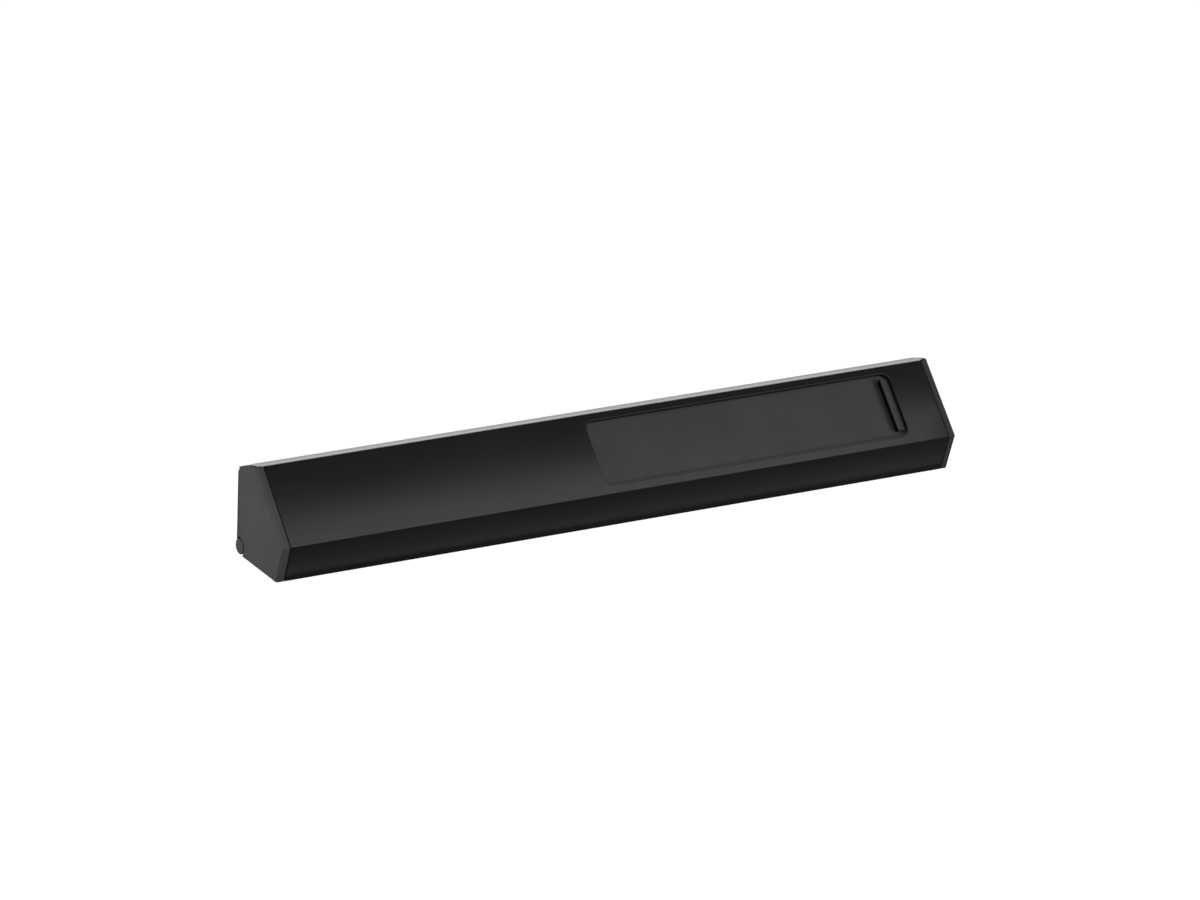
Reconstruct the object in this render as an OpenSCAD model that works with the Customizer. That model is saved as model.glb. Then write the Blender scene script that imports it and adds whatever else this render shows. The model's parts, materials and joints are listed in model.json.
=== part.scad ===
// LED batten: an extruded bar with a convex light strip along its top, a sliding cover
// over a connection bay in its sloped front, and a mounting plate hinged along its rear foot.
// X runs along the bar, Y to the rear, Z up; the origin is under the middle of the bar.

/* [Bar] */
// Length over the end caps
bar_length = 500; // [450:1:640]
// Depth of the base, from its front edge to the rear face of the mounting plate
base_depth = 56.6; // [51:0.1:60]
// How far the knee stands in front of the base
knee_overhang = 8.4; // [6:0.1:11]
// Height of the knee above the underside
knee_height = 25.9; // [24:0.1:28]
// Height of the top front edge above the underside
crest_height = 66.4; // [64:0.1:70]
// Distance of the top front edge from the rear face
crest_setback = 24.5; // [23.5:0.1:27]
// Height of the top rear edge above the underside
rear_height = 58.9; // [57:0.1:61]
// Wall of the extruded housing
wall = 2; // [1.7:0.1:2.4]
// Thickness of an end cap
cap_thickness = 5.9; // [5:0.1:7]
// Bevel of the end caps along their bottom and rear edges
cap_bevel = 0.2; // [0.2:0.1:0.8]
// Bevel of the end caps along the slope and the lower front
front_bevel = 1.4; // [0.4:0.1:1.8]
// Width of the seam groove between an end cap and the housing
seam_width = 0.9; // [0.4:0.1:1.2]
// Depth of that groove
seam_depth = 0.7; // [0.3:0.1:1]
// Rounding of the long edge at the crest
crest_radius = 2; // [0.5:0.1:2.2]
// Rounding of the long edge at the knee
knee_radius = 0.9; // [0.4:0.1:1]
// Rounding of the long edge at the foot of the front
toe_radius = 0.5; // [0.2:0.1:0.8]
// Rise of an end cap's top edge above its chord
cap_crown = 0.9; // [0.5:0.1:1.2]
// Thickness of the rubber foot strips
foot_thickness = 0.8; // [0.5:0.1:1.5]
// Width of a foot strip
foot_width = 9; // [6:0.5:10]

/* [Light] */
// Wall of the lens strip
lens_thickness = 2; // [1.6:0.1:2.4]
// Rise of the lens above its chord
lens_crown = 1.3; // [1:0.1:2]
// Distance of each lens end from the end of the bar
lens_end = 2.4; // [2:0.1:3]
// Depth of the heat-sink shelf below the lens chord
shelf_depth = 10.5; // [9.5:0.1:11.5]
// Thickness of the heat-sink shelf
shelf_thickness = 2.5; // [2.2:0.1:3]
// Width of an LED board
board_width = 14; // [12:0.5:15]
// Thickness of every circuit board
board_thickness = 1.6; // [1:0.1:2]
// Thickness of the thermal pad under the LED boards
pad_thickness = 0.5; // [0.3:0.1:1]
// Spacing of the emitters
led_pitch = 10; // [8:0.5:16]
// Side of one emitter
led_size = 5; // [3:0.1:6]
// Height of one emitter
led_height = 1.6; // [1:0.1:2]

/* [Cover] */
// Length of the opening in the sloped front
opening_length = 231.4; // [205:0.1:250]
// Height of the opening along the slope
opening_height = 45.4; // [40:0.1:46]
// Corner radius of the opening
opening_corner = 6; // [3:0.5:9]
// Distance of the opening from the right end of the bar
opening_margin = 33.6; // [29:0.1:40]
// Thickness of the sliding cover
cover_thickness = 1.8; // [1.4:0.1:2]
// How far the cover runs under the housing all round
cover_lap = 2; // [1.8:0.1:2.8]
// Depth of the cover's sunken face below its rails
cover_recess = 0.9; // [0.3:0.1:1]
// Play of the cover in its track
slide_clearance = 0.3; // [0.2:0.05:0.4]
// Length of the finger grip
grip_length = 37; // [28:0.5:39]
// Width of the finger grip
grip_width = 3.2; // [2.6:0.1:5]
// Height of the finger grip above the cover
grip_height = 4.2; // [2.6:0.1:5]
// Distance of the finger grip from the right edge of the opening
grip_inset = 5.4; // [3.5:0.1:8]
// Gap between the foot of the grip's ramp and the right edge of the opening
grip_ramp_gap = 1; // [0.6:0.1:2]

/* [Bay] */
// Depth of the bay behind the sloped face
bay_depth = 17; // [15.5:0.1:18]
// Sheet of the bay tray
bay_sheet = 1.5; // [1.2:0.1:1.6]
// Distance of the control board behind the bay tray's face
control_board_depth = 16; // [15:0.1:17]
// Distance of the key block from the left edge of the opening
keys_at = 24; // [23.5:0.5:25]
// Distance of the display from the left edge of the opening
display_at = 58; // [57:0.5:60]
// Distance of the data in jack from the left edge of the opening
data_in_at = 90; // [88:0.5:91]
// Distance of the data out jack from the left edge of the opening
data_out_at = 109; // [108:0.5:112]
// Distance of the switch from the right edge of the opening
switch_from_right = 80; // [78:0.5:90]
// Distance of the power outlet from the right edge of the opening
outlet_from_right = 53; // [52:0.5:55]
// Distance of the power inlet from the right edge of the opening
inlet_from_right = 19; // [17.5:0.5:20]
// Spacing of the four keys
key_pitch = 13; // [12:0.5:14]
// Side of a key
key_size = 9; // [7:0.5:10]
// Travel of a key
key_travel = 1; // [0.5:0.1:1.2]

/* [Hinge] */
// Thickness of the rear mounting plate
plate_thickness = 1.5; // [1.2:0.1:2]
// Gap between the plate and the housing
plate_gap = 0.25; // [0.2:0.05:0.4]
// Height of the plate's upper edge above the underside
plate_height = 55.9; // [48:0.1:57]
// Radius of the hinge bead along the plate's lower edge
bead_radius = 4.5; // [4.2:0.1:4.7]
// Running clearance of the bead in its socket
bead_clearance = 0.05; // [0.03:0.01:0.1]
// Height of the hinge axis above the underside
hinge_rise = 5.4; // [5.4:0.05:6.2]
// Distance of the hinge axis from the plate's rear face
hinge_inset = 4.3; // [4.1:0.05:4.4]
// Radius of the pivot plug in the end of the bead
plug_radius = 5.2; // [5:0.05:5.4]
// How far a pivot plug stands out of its end cap
plug_proud = 0.2; // [0.1:0.1:1.5]
// Radius of the notch round the plug in an end cap
notch_radius = 6.5; // [5.8:0.1:7.6]
// Diameter of a wall screw hole in the plate
plate_hole = 5.2; // [4:0.1:6]
// Spacing of the wall screw holes along the bar
plate_hole_span = 400; // [300:1:420]
// Spacing of the wall screw holes up the plate
plate_hole_rise = 26; // [20:0.5:28]

/* [Driver] */
// Length of the LED driver
driver_length = 150; // [130:1:180]
// Width of the LED driver
driver_width = 26; // [24:0.5:27]
// Height of the LED driver
driver_height = 26; // [24:0.5:28]
// Sheet of the driver's case
driver_sheet = 1.2; // [1:0.1:1.5]

/* [Hidden] */
$fn = 48;

// Fits
fit = 0.3;
close_fit = 0.1;
peg_fit = 0.05;
lens_clearance = 0.12;

// Section of the bar as points [y, z]
plug_overhang = plug_radius - hinge_inset;
// How far the knee's rounding draws the front back
knee_trim = inside_corner([base_depth + knee_overhang - crest_setback, crest_height - knee_height],
    [0, 0], [knee_overhang, -knee_height], knee_radius, knee_radius)[0] - knee_radius;
overall_depth = knee_overhang - knee_trim + base_depth + plug_overhang;
// The depth lies evenly about the origin, to a hundredth of a millimetre
rear_y = round(100 * (overall_depth / 2 - plug_overhang)) / 100;
back_y = rear_y - plate_thickness - plate_gap;
base_z = foot_thickness;
toe = [rear_y - base_depth, base_z];
heel = [back_y, base_z];
brow = [back_y, base_z + rear_height];
crest = [rear_y - crest_setback, base_z + crest_height];
knee = [toe[0] - knee_overhang, base_z + knee_height];
outline = [toe, heel, brow, crest, knee];

// Vector helpers in the section plane
function unit(v) = v / norm(v);
function left_of(v) = [-v[1], v[0]];
function meet(p, u, q, v) =
    p + u * (((q[0] - p[0]) * v[1] - (q[1] - p[1]) * v[0]) / (u[0] * v[1] - u[1] * v[0]));
// The point inside corner b of a, b, c that lies d1 from edge a-b and d2 from edge b-c
function inside_corner(a, b, c, d1, d2) =
    let (u = unit(b - a), v = unit(c - b)) meet(b + d1 * left_of(u), u, b + d2 * left_of(v), v);
function inset(pts, d) =
    let (n = len(pts))
    [for (i = [0:n - 1]) inside_corner(pts[(i + n - 1) % n], pts[i], pts[(i + 1) % n], d, d)];

// Points with an arc of the given radius at each corner that has one
function round_corners(pts, radii) = let (n = len(pts))
    [for (i = [0:n - 1]) each radii[i] == 0 ? [pts[i]]
        : corner_arc(pts[(i + n - 1) % n], pts[i], pts[(i + 1) % n], radii[i])];
function corner_arc(a, b, c, r) =
    let (centre = inside_corner(a, b, c, r, r), from = b - a, turn = turn_angle(b - a, c - b),
         start = atan2(from[1], from[0]) - 90)
    [for (k = [0:corner_steps]) let (g = start + turn * k / corner_steps) centre + r * [cos(g), sin(g)]];
function turn_angle(u, v) = atan2(u[0] * v[1] - u[1] * v[0], u * v);
corner_steps = 6;
skin = round_corners(outline, [toe_radius, 0, 0, crest_radius, knee_radius]);

half_length = bar_length / 2;
body_half = half_length - cap_thickness;
cavity = inset(outline, wall);
free_space = inset(outline, wall + fit);

// Sloped face: u up the slope from the knee, v outwards
slope_length = norm(crest - knee);
slope_angle = atan2(crest[1] - knee[1], crest[0] - knee[0]);
// Top face: q to the rear from the crest, v outwards
top_length = norm(brow - crest);
top_angle = atan2(brow[1] - crest[1], brow[0] - crest[0]);

// Cover track
opening_shift = 0.45;
opening_mid_u = slope_length / 2 + opening_shift;
opening_low = opening_mid_u - opening_height / 2;
opening_high = opening_low + opening_height;
opening_right = half_length - opening_margin;
opening_left = opening_right - opening_length;
slot_low = opening_low - cover_lap - slide_clearance;
slot_high = opening_high + cover_lap + slide_clearance;
track_back = wall + cover_thickness + 2 * slide_clearance;
rail_thickness = 1.2;
rail_back = track_back + rail_thickness;
rail_lip = 3;
rail_block = 2.5;
cover_top = -(wall + slide_clearance);
cover_face = cover_top - cover_recess;
cover_rail = 1;
cover_right = opening_right + cover_lap;
cover_left = opening_left - cover_lap;
grip_x = opening_right - grip_inset - grip_width / 2;
grip_peg_radius = 1.1;
grip_peg_end = 6;
grip_peg_span = grip_length - 2 * grip_peg_end;
grip_undercut = 0.6;
grip_edge = 0.5;
grip_ramp = grip_inset - grip_ramp_gap;
stop_width = 6;

// Light compartment
lens_lip = 1.5;
lens_flare = 0.5;
lens_foot = 2;
lens_span = top_length - 2 * lens_lip;
ledge = 1.5;
ledge_reach = 4;
shelf_back = shelf_depth + shelf_thickness;
board_shift = 0.5;
board_mid = top_length / 2 + board_shift;
pad_top = -shelf_depth + pad_thickness;
board_top = pad_top + board_thickness;
board_gap = 1;
board_end = 3;
board_count = 3;
board_run = 2 * body_half - 2 * board_end;
board_length = (board_run - (board_count - 1) * board_gap) / board_count;
led_count = floor((board_length - led_size) / led_pitch);
screw_radius = 1.45;
screw_hole = 1.5;
screw_head_radius = 2.6;
screw_head = 1.6;
board_screw_count = 2;
board_screw_q = board_mid;

// Screw ports along the extrusion, where the end caps' pegs go in
port_radius = 3.7;
port_bore = 2.05;
peg_length = 12;
port_bite = 0.4;
port_depth = wall + port_radius - port_bite;
port_knee = inside_corner(crest, knee, toe, rail_back + port_radius - port_bite, port_depth);
port_shelf_depth = shelf_back + port_radius - port_bite;
port_brow = inside_corner(heel, brow, crest, port_depth, port_shelf_depth);
// Fills the corner between that port, the rear wall and the shelf
port_brow_web = [port_brow, inside_corner(heel, brow, crest, wall / 2, port_shelf_depth),
    inside_corner(heel, brow, crest, wall / 2, shelf_depth),
    inside_corner(heel, brow, crest, port_depth, shelf_depth)];

// Hinge
hinge = [rear_y - hinge_inset, base_z + hinge_rise];
socket_wall = 1.55;
socket_radius = bead_radius + bead_clearance;
mouth_top = 58;
mouth_bottom = -79;
mouth_reach = 14;
port_heel = [hinge[0] - socket_radius - socket_wall - port_radius, base_z + port_depth];
ports = [port_knee, port_brow, port_heel];
plate_end = 0.3;
plate_notch_gap = 0.2;
plate_top_z = base_z + plate_height;
plate_hole_z = (hinge[1] + plug_radius + plate_top_z) / 2;
countersink_radius = 4.4;
countersink_depth = 0.75;
plug_spigot = 2.5;
plug_spigot_length = 12;
plug_bevel = 0.4;

// Bay
panel_face = -bay_depth;
panel_back = panel_face - bay_sheet;
bay_end = 3.5;
bay_left = opening_left - bay_end;
bay_right = opening_right + bay_end;
tray_flange = 8;
tray_screw_q = 8;
tray_screw_at = [0.08, 0.36, 0.64, 0.92];
board_face = panel_face - control_board_depth;
control_board_width = 34;
control_board_inset = 4;
control_board_past_jack = 1.7;
spacer_radius = 2.6;
spacer_inset = 3.6;
spacer_thread = 8;
spacer_screw_reach = 6;
key_stem = 1.9;
key_cap = 2.2;
key_stand = key_travel + 0.4;
switch_height = 5;
switch_side = 7;
switch_bore_depth = 3;
key_engage = 1.2;
key_foot = board_face + switch_height - key_engage;
key_corner = 1.5;
window = [40, 20, 1];
window_cut = [34, 15];
display_block = [36, 17];
jack = [15.6, 13.6];
jack_proud = 0.6;
jack_mouth = [11.8, 8.4];
jack_deep = 12;
jack_latch = [4.5, 3];
contact_pitch = 1.27;
contact_count = 8;
contact = [0.5, 1, 8];
control_board_left = opening_left + control_board_inset;
control_board_right = opening_left + data_out_at + jack[0] / 2 + control_board_past_jack;
switch_at = opening_length - switch_from_right;
outlet_at = opening_length - outlet_from_right;
inlet_at = opening_length - inlet_from_right;
rocker_frame = [15, 22, 1.6];
rocker_box = [12.6, 19.2, 12];
rocker_wall = 1.1;
rocker_axis = 0.4;
rocker_pin = 1.1;
rocker_pin_length = 0.8;
rocker_tilt = 8;
rocker_side_gap = 0.35;
rocker_corner = 1;
rocker_foot = 1.6;
rocker_depth = 3;
rocker_rise = 3.6;
rocker_lip = 0.6;
rocker_dish = 0.8;
rocker_width = rocker_box[0] - 2 * rocker_wall - 2 * rocker_side_gap;
rocker_length = rocker_box[1] - 2 * rocker_wall - 2 * rocker_side_gap;
inlet_flange = [31, 25, 2.4];
inlet_box = [27.4, 20, 22];
inlet_mouth = [24.4, 16.4];
inlet_deep = 16;
flange_corner = 2;
mouth_corner = 3;
outlet_groove = 1;
socket_floor = panel_face + inlet_flange[2] - inlet_deep;
outlet_slot = [2.6, 6.6];
outlet_deep = 12;
pin_blade = [2, 4.6];
pin_length = 13;
pin_tail = 4;
pin_spread = 7;
pin_drop = 2;

// Driver
driver_end = 14;
driver_gap = 3.5;
driver_x = -body_half + driver_end;
driver_y = port_heel[0] - port_radius - driver_gap - driver_width;
driver_z = base_z + wall;
driver_ear = [7, 10];
driver_post = 3;
driver_post_radius = 2;
driver_post_inset = [6, 5];
driver_floor = driver_sheet + driver_post;
driver_edge = driver_sheet + fit;
driver_port = [12, 6];
driver_port_rise = 8;
lid_slot = 3;
lid_slot_pitch = 12;
lid_slot_margin = 20;
lid_edge = 5;
transformer = [24, 4];
transformer_coil = [16, 8];
transformer_edge = 5;
coil_edge = 6;
capacitor_radius = 6;
capacitor_height = 15;
capacitor_at = [0.16, 0.28, 0.78];

// Leads inside the housing
lead_radius = 1.1;
lead_spread = 1.3;
light_lead_inset = 6;
light_lead_gap = 2;
light_lead_pad = 2.4;
light_lead_x = -body_half + board_end + light_lead_inset;
light_lead_q = board_mid - board_width / 2 - light_lead_gap;
light_pad_q = light_lead_q + light_lead_gap + light_lead_pad;
power_lead_rise = 22;
power_lead_gap = 2.6;
power_lead_spread = 3;
power_lead_drop = 7;
power_lead_run = 40;
power_lead_turn = [6, 4];
driver_lead_reach = 10;
driver_lead_inside = 5;
shelf_lead_rise = 12;
shelf_lead_straight = 3;

// Feet
foot_end = 12;
foot_setback = 3;

// Placing
module along(x0, x1) translate([x0, 0, 0]) rotate([90, 0, 90]) linear_extrude(x1 - x0) children();
module slope_2d() translate(knee) rotate(slope_angle) children();
module top_2d() translate(crest) rotate(top_angle) children();
module on_slope() translate([0, knee[0], knee[1]]) rotate([slope_angle, 0, 0]) children();
module on_top() translate([0, crest[0], crest[1]]) rotate([top_angle, 0, 0]) children();
// A box given by its lowest and highest corners
module block(a, b) translate(a) cube(b - a);
// A place on the bay's face, by its distance from the opening's left edge
module in_bay(at) on_slope() translate([opening_left + at, opening_mid_u, 0]) children();
module rounded_rect(w, h, r) {
    square([w - 2 * r, h], center = true);
    square([w, h - 2 * r], center = true);
    for (x = [-1, 1], y = [-1, 1]) translate([x * (w / 2 - r), y * (h / 2 - r)]) circle(r);
}
// A plate with rounded corners that stands on z, t thick
module rounded_plate(w, h, r, z, t) translate([0, 0, z]) linear_extrude(t) rounded_rect(w, h, r);
function sector(c, r, a0, a1, n) =
    concat([c], [for (i = [0:n]) let (a = a0 + (a1 - a0) * i / n) c + r * [cos(a), sin(a)]]);
function arc_radius(chord, rise) = (chord * chord / 4 + rise * rise) / (2 * rise);

// A tube of n sides swept along points, for internal leads
function tangent(p, i) = unit(p[min(i + 1, len(p) - 1)] - p[max(i - 1, 0)]);
// A direction that no lead runs along, so that the rings don't twist
ring_side = [1, 1, -0.4];
function tube_ring(c, t, r, n) =
    let (side = unit(cross(t, ring_side)), up = cross(side, t))
    [for (k = [0:n - 1]) c + r * (cos(360 * k / n) * side + sin(360 * k / n) * up)];
module tube(p, r, n = 8) {
    last = len(p) - 1;
    points = [for (i = [0:last]) each tube_ring(p[i], tangent(p, i), r, n)];
    sides = [for (i = [0:last - 1], k = [0:n - 1], half = [0, 1])
        let (a = i * n + k, b = i * n + (k + 1) % n)
        half == 0 ? [a, b + n, a + n] : [a, b, b + n]];
    first_end = [for (k = [1:n - 2]) [0, k + 1, k]];
    last_end = [for (k = [1:n - 2]) [last * n, last * n + k, last * n + k + 1]];
    polyhedron(points, concat(sides, first_end, last_end));
}
// A smooth route through points
function bend(p, t) =
    let (n = len(p) - 1, i = min(floor(t * n), n - 1), f = t * n - i,
         a = p[max(i - 1, 0)], b = p[i], c = p[i + 1], d = p[min(i + 2, n)])
    0.5 * (2 * b + (c - a) * f + (2 * a - 5 * b + 4 * c - d) * f * f
        + (3 * b - a - 3 * c + d) * f * f * f);
function route(p, steps) = [for (i = [0:steps]) bend(p, i / steps)];

// Housing
module shelf_section() difference() {
    intersection() {
        polygon(outline);
        top_2d() translate([-slope_length, -shelf_back]) square([2 * slope_length, shelf_thickness]);
    }
    slope_2d() translate([-slope_length, -track_back]) square([3 * slope_length, slope_length]);
}
module track_section() {
    slope_2d() translate([slot_high - rail_thickness, -rail_back]) square([slope_length, rail_back]);
    intersection() {
        slope_2d() translate([0, -rail_back]) square([slot_high + close_fit, rail_thickness]);
        top_2d() translate([-slope_length, -shelf_back]) square([2 * slope_length, slope_length]);
    }
    slope_2d() translate([slot_low - rail_block, -rail_back])
        square([rail_block + rail_thickness, rail_back]);
    slope_2d() translate([slot_low - rail_block, -rail_back])
        square([rail_block + rail_lip, rail_thickness]);
}
module lens_seat(play) polygon([
    [lens_lip - play, lens_crown + wall], [lens_lip - play, play],
    [lens_lip - lens_flare - play, -lens_thickness - play],
    [top_length - lens_lip + lens_flare + play, -lens_thickness - play],
    [top_length - lens_lip + play, play], [top_length - lens_lip + play, lens_crown + wall]
]);
module housing_section() difference() {
    intersection() {
        polygon(skin);
        union() {
            difference() {
                polygon(skin);
                polygon(cavity);
            }
            shelf_section();
            track_section();
            top_2d() translate([top_length - ledge_reach, -lens_thickness - lens_clearance - ledge])
                square([ledge_reach + wall, ledge]);
            translate(hinge) circle(socket_radius + socket_wall);
            for (p = ports) translate(p) circle(port_radius);
            polygon(port_brow_web);
        }
    }
    top_2d() lens_seat(lens_clearance);
    slope_2d() translate([slot_low, -track_back]) square([slot_high - slot_low, track_back - wall]);
    for (p = ports) translate(p) circle(port_bore);
    translate(hinge) circle(socket_radius);
    polygon(sector(hinge, mouth_reach, mouth_bottom, mouth_top, 8));
}
module board_screw_places() for (i = [0:board_count - 1], k = [0:board_screw_count - 1])
    on_top() translate([board_start(i) + board_length * (k + 0.5) / board_screw_count, board_screw_q, 0])
        children();
module tray_screw_places() for (f = tray_screw_at)
    on_top() translate([bay_left + (bay_right - bay_left) * f, tray_screw_q, 0]) children();
module driver_screw_places()
    for (x = [driver_x - driver_ear[0] / 2, driver_x + driver_length + driver_ear[0] / 2])
    translate([x, driver_y + driver_width / 2, driver_z]) children();
module light_lead_hole() on_top() translate([light_lead_x, light_lead_q, 0]) children();
module housing() color("#1d1d1f") difference() {
    along(-body_half, body_half) housing_section();
    on_slope() translate([(opening_left + opening_right) / 2, opening_mid_u, -wall - close_fit])
        linear_extrude(2 * wall) rounded_rect(opening_length, opening_height, opening_corner);
    board_screw_places() translate([0, 0, -shelf_back - wall]) cylinder(r = screw_hole, h = shelf_back);
    tray_screw_places() translate([0, 0, -shelf_back - wall])
        cylinder(r = screw_hole, h = shelf_thickness - close_fit + wall);
    driver_screw_places() translate([0, 0, -2 * wall]) cylinder(r = screw_hole, h = 3 * wall);
    light_lead_hole() translate([0, 0, -shelf_back - wall])
        cylinder(r = lead_spread + lead_radius + close_fit, h = shelf_thickness + 2 * wall);
}

// End caps, drawn for the left end
cap_arc = arc_radius(top_length, cap_crown);
crown_steps = 16;
function crown_point(q) =
    let (v = cap_crown - cap_arc + sqrt(pow(cap_arc, 2) - pow(q - top_length / 2, 2)))
    crest + q * [cos(top_angle), sin(top_angle)] + v * [-sin(top_angle), cos(top_angle)];
crown = [for (k = [1:crown_steps - 1]) crown_point(top_length * (1 - k / crown_steps))];
cap_outline = round_corners(concat([toe, heel, brow], crown, [crest, knee]),
    concat([toe_radius, 0, 0], [for (p = crown) 0], [crest_radius, knee_radius]));
// Bevels the edge from p to q of the outer face
module cap_edge_bevel(p, q, size) translate([-half_length, p[0], p[1]])
    rotate([atan2(q[1] - p[1], q[0] - p[0]), 0, 0])
    rotate([90, 0, 0]) translate([0, 0, -half_length]) linear_extrude(bar_length)
    polygon([[-size, -size], [2 * size, -size], [-size, 2 * size]]);
module end_cap() {
    difference() {
        union() {
            along(-half_length, -body_half - seam_width) polygon(cap_outline);
            along(-half_length + lens_end, -body_half) polygon(inset(outline, seam_depth));
        }
        for (e = [[toe, heel], [heel, brow]]) cap_edge_bevel(e[0], e[1], cap_bevel);
        for (e = [[crest, knee], [knee, toe]]) cap_edge_bevel(e[0], e[1], front_bevel);
        along(-half_length + lens_end, -body_half + wall) top_2d() lens_seat(lens_clearance);
        along(-half_length - wall, -body_half + wall) translate(hinge) circle(notch_radius);
    }
    for (p = ports) translate([-body_half, p[0], p[1]]) rotate([0, 90, 0])
        cylinder(r = port_bore - peg_fit, h = peg_length);
}
module end_cap_left() color("#4a4a4d") end_cap();
module end_cap_right() color("#4a4a4d") mirror([1, 0, 0]) end_cap();

// Light
module lens_section() difference() {
    intersection() {
        lens_seat(0);
        translate([top_length / 2, lens_crown - arc_radius(lens_span, lens_crown)])
            circle(arc_radius(lens_span, lens_crown), $fn = 180);
    }
    intersection() {
        translate([lens_lip + lens_foot, -2 * lens_thickness])
            square([lens_span - 2 * lens_foot, 3 * lens_thickness]);
        translate([top_length / 2, lens_crown - arc_radius(lens_span, lens_crown)])
            circle(arc_radius(lens_span, lens_crown) - lens_thickness, $fn = 180);
    }
}
module lens() color("#c9cbcc") along(-half_length + lens_end, half_length - lens_end)
    top_2d() lens_section();
function board_start(i) = -board_run / 2 + i * (board_length + board_gap);
module led_board(i) color("#e8e8e4") difference() {
    on_top() translate([board_start(i), board_mid - board_width / 2, pad_top])
        cube([board_length, board_width, board_thickness]);
    board_screw_places() translate([0, 0, pad_top - wall]) cylinder(r = screw_hole, h = 3 * wall);
}
// Emitters along one board, left out where a screw holds it
module led_row(i) color("#f2d977") on_top() for (k = [0:led_count - 1])
    if (abs((k + 0.5) / led_count * board_screw_count % 1 - 0.5)
        * board_length / board_screw_count > led_size)
        translate([board_start(i) + board_length * (k + 0.5) / led_count, board_mid, board_top])
        translate([-led_size / 2, -led_size / 2, 0]) cube([led_size, led_size, led_height]);
module led_board_screws() color("silver") board_screw_places() {
    translate([0, 0, board_top]) cylinder(r = screw_head_radius, h = screw_head);
    translate([0, 0, -shelf_back]) cylinder(r = screw_radius, h = shelf_back + board_top);
}
module thermal_pad() color("#9fb3c4") difference() {
    on_top() translate([-board_run / 2, board_mid - board_width / 2, -shelf_depth])
        cube([board_run, board_width, pad_thickness]);
    board_screw_places() translate([0, 0, -shelf_back]) cylinder(r = screw_hole, h = shelf_back);
}

// Cover
module grip_peg_places() on_slope() for (k = [-1, 1])
    translate([grip_x, opening_mid_u + k * grip_peg_span / 2, 0]) children();
module sliding_cover() color("#2b2b2d") difference() {
    on_slope() translate([(cover_left + cover_right) / 2, opening_mid_u, 0])
        rounded_plate(cover_right - cover_left, opening_height + 2 * cover_lap, cover_lap,
            cover_top - cover_thickness, cover_thickness);
    on_slope() translate([(cover_left + cover_right) / 2, opening_mid_u, 0])
        rounded_plate(cover_right - cover_left - 2 * cover_rail,
            opening_height + 2 * (cover_lap - cover_rail), cover_lap - cover_rail,
            cover_face, 2 * cover_recess);
    grip_peg_places() translate([0, 0, cover_top - 2 * cover_thickness])
        cylinder(r = grip_peg_radius + peg_fit, h = 3 * cover_thickness);
}
// The grip leans to the left at its top, so that a finger hooks under it, and slopes down to the right
module cover_grip() color("#343436") {
    on_slope() translate([grip_x, opening_mid_u + grip_length / 2, cover_face])
        rotate([90, 0, 0]) linear_extrude(grip_length) polygon([
            [-grip_width / 2 + grip_undercut, 0], [grip_width / 2 + grip_ramp, 0],
            [grip_width / 2 + grip_ramp, grip_edge], [grip_width / 2 - grip_edge, grip_height],
            [-grip_width / 2 + grip_edge, grip_height], [-grip_width / 2, grip_height - grip_edge],
            [-grip_width / 2, grip_height - 2 * grip_edge]
        ]);
    grip_peg_places() translate([0, 0, cover_top - cover_thickness])
        cylinder(r = grip_peg_radius, h = cover_thickness - cover_recess + close_fit);
}
module cover_stop() color("#111111") on_slope()
    block([cover_right + slide_clearance, slot_low + close_fit, -track_back + close_fit],
        [cover_right + slide_clearance + stop_width, slot_high - close_fit, -wall - close_fit]);

// Bay
module bay_zone() difference() {
    polygon(free_space);
    top_2d() translate([-slope_length, -shelf_back - close_fit]) square([3 * slope_length, slope_length]);
    translate(port_knee) circle(port_radius + fit);
    translate(port_brow) circle(port_radius + fit);
}
module panel_section() intersection() {
    bay_zone();
    slope_2d() translate([-slope_length, panel_back]) square([3 * slope_length, bay_sheet]);
}
module flange_section() intersection() {
    bay_zone();
    top_2d() translate([tray_screw_q - tray_flange / 2, -shelf_back - close_fit - bay_sheet])
        square([slope_length, bay_sheet]);
    slope_2d() translate([-slope_length, panel_back]) square([3 * slope_length, slope_length]);
}
module tray_end_section() intersection() {
    bay_zone();
    slope_2d() translate([-slope_length, panel_back])
        square([3 * slope_length, bay_depth + bay_sheet - rail_back - fit]);
}
module key_places() for (i = [0:3]) key_place(i) children();
module key_place(i) in_bay(keys_at)
    translate([(i % 2 - 0.5) * key_pitch, (0.5 - floor(i / 2)) * key_pitch, 0]) children();
module panel_hole(size, play) translate([0, 0, panel_back - wall])
    linear_extrude(bay_sheet + 2 * wall) square([size[0] + 2 * play, size[1] + 2 * play], center = true);
module spacer_places() for (x = [control_board_left + spacer_inset, control_board_right - spacer_inset],
    k = [-1, 1]) on_slope()
    translate([x, opening_mid_u + k * (control_board_width / 2 - spacer_inset), 0]) children();
module bay_tray() color("#3a3a3c") difference() {
    union() {
        along(bay_left, bay_right) {
            panel_section();
            flange_section();
        }
        along(bay_left, bay_left + bay_sheet) tray_end_section();
        along(bay_right - bay_sheet, bay_right) tray_end_section();
    }
    tray_screw_places() translate([0, 0, -2 * shelf_back]) cylinder(r = screw_hole, h = 2 * shelf_back);
    key_places() translate([0, 0, panel_back - wall])
        cylinder(r = key_stem + fit, h = bay_sheet + 2 * wall);
    in_bay(display_at) panel_hole(window_cut, 0);
    for (at = [data_in_at, data_out_at]) in_bay(at) panel_hole(jack, close_fit);
    in_bay(switch_at) panel_hole(rocker_box, close_fit);
    for (at = [outlet_at, inlet_at]) in_bay(at) panel_hole(inlet_box, close_fit);
}
module tray_screws() color("silver") tray_screw_places() {
    translate([0, 0, -shelf_back - close_fit - bay_sheet - screw_head])
        cylinder(r = screw_head_radius, h = screw_head);
    translate([0, 0, -shelf_back - close_fit - bay_sheet])
        cylinder(r = screw_radius, h = bay_sheet + shelf_thickness - close_fit);
}
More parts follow.
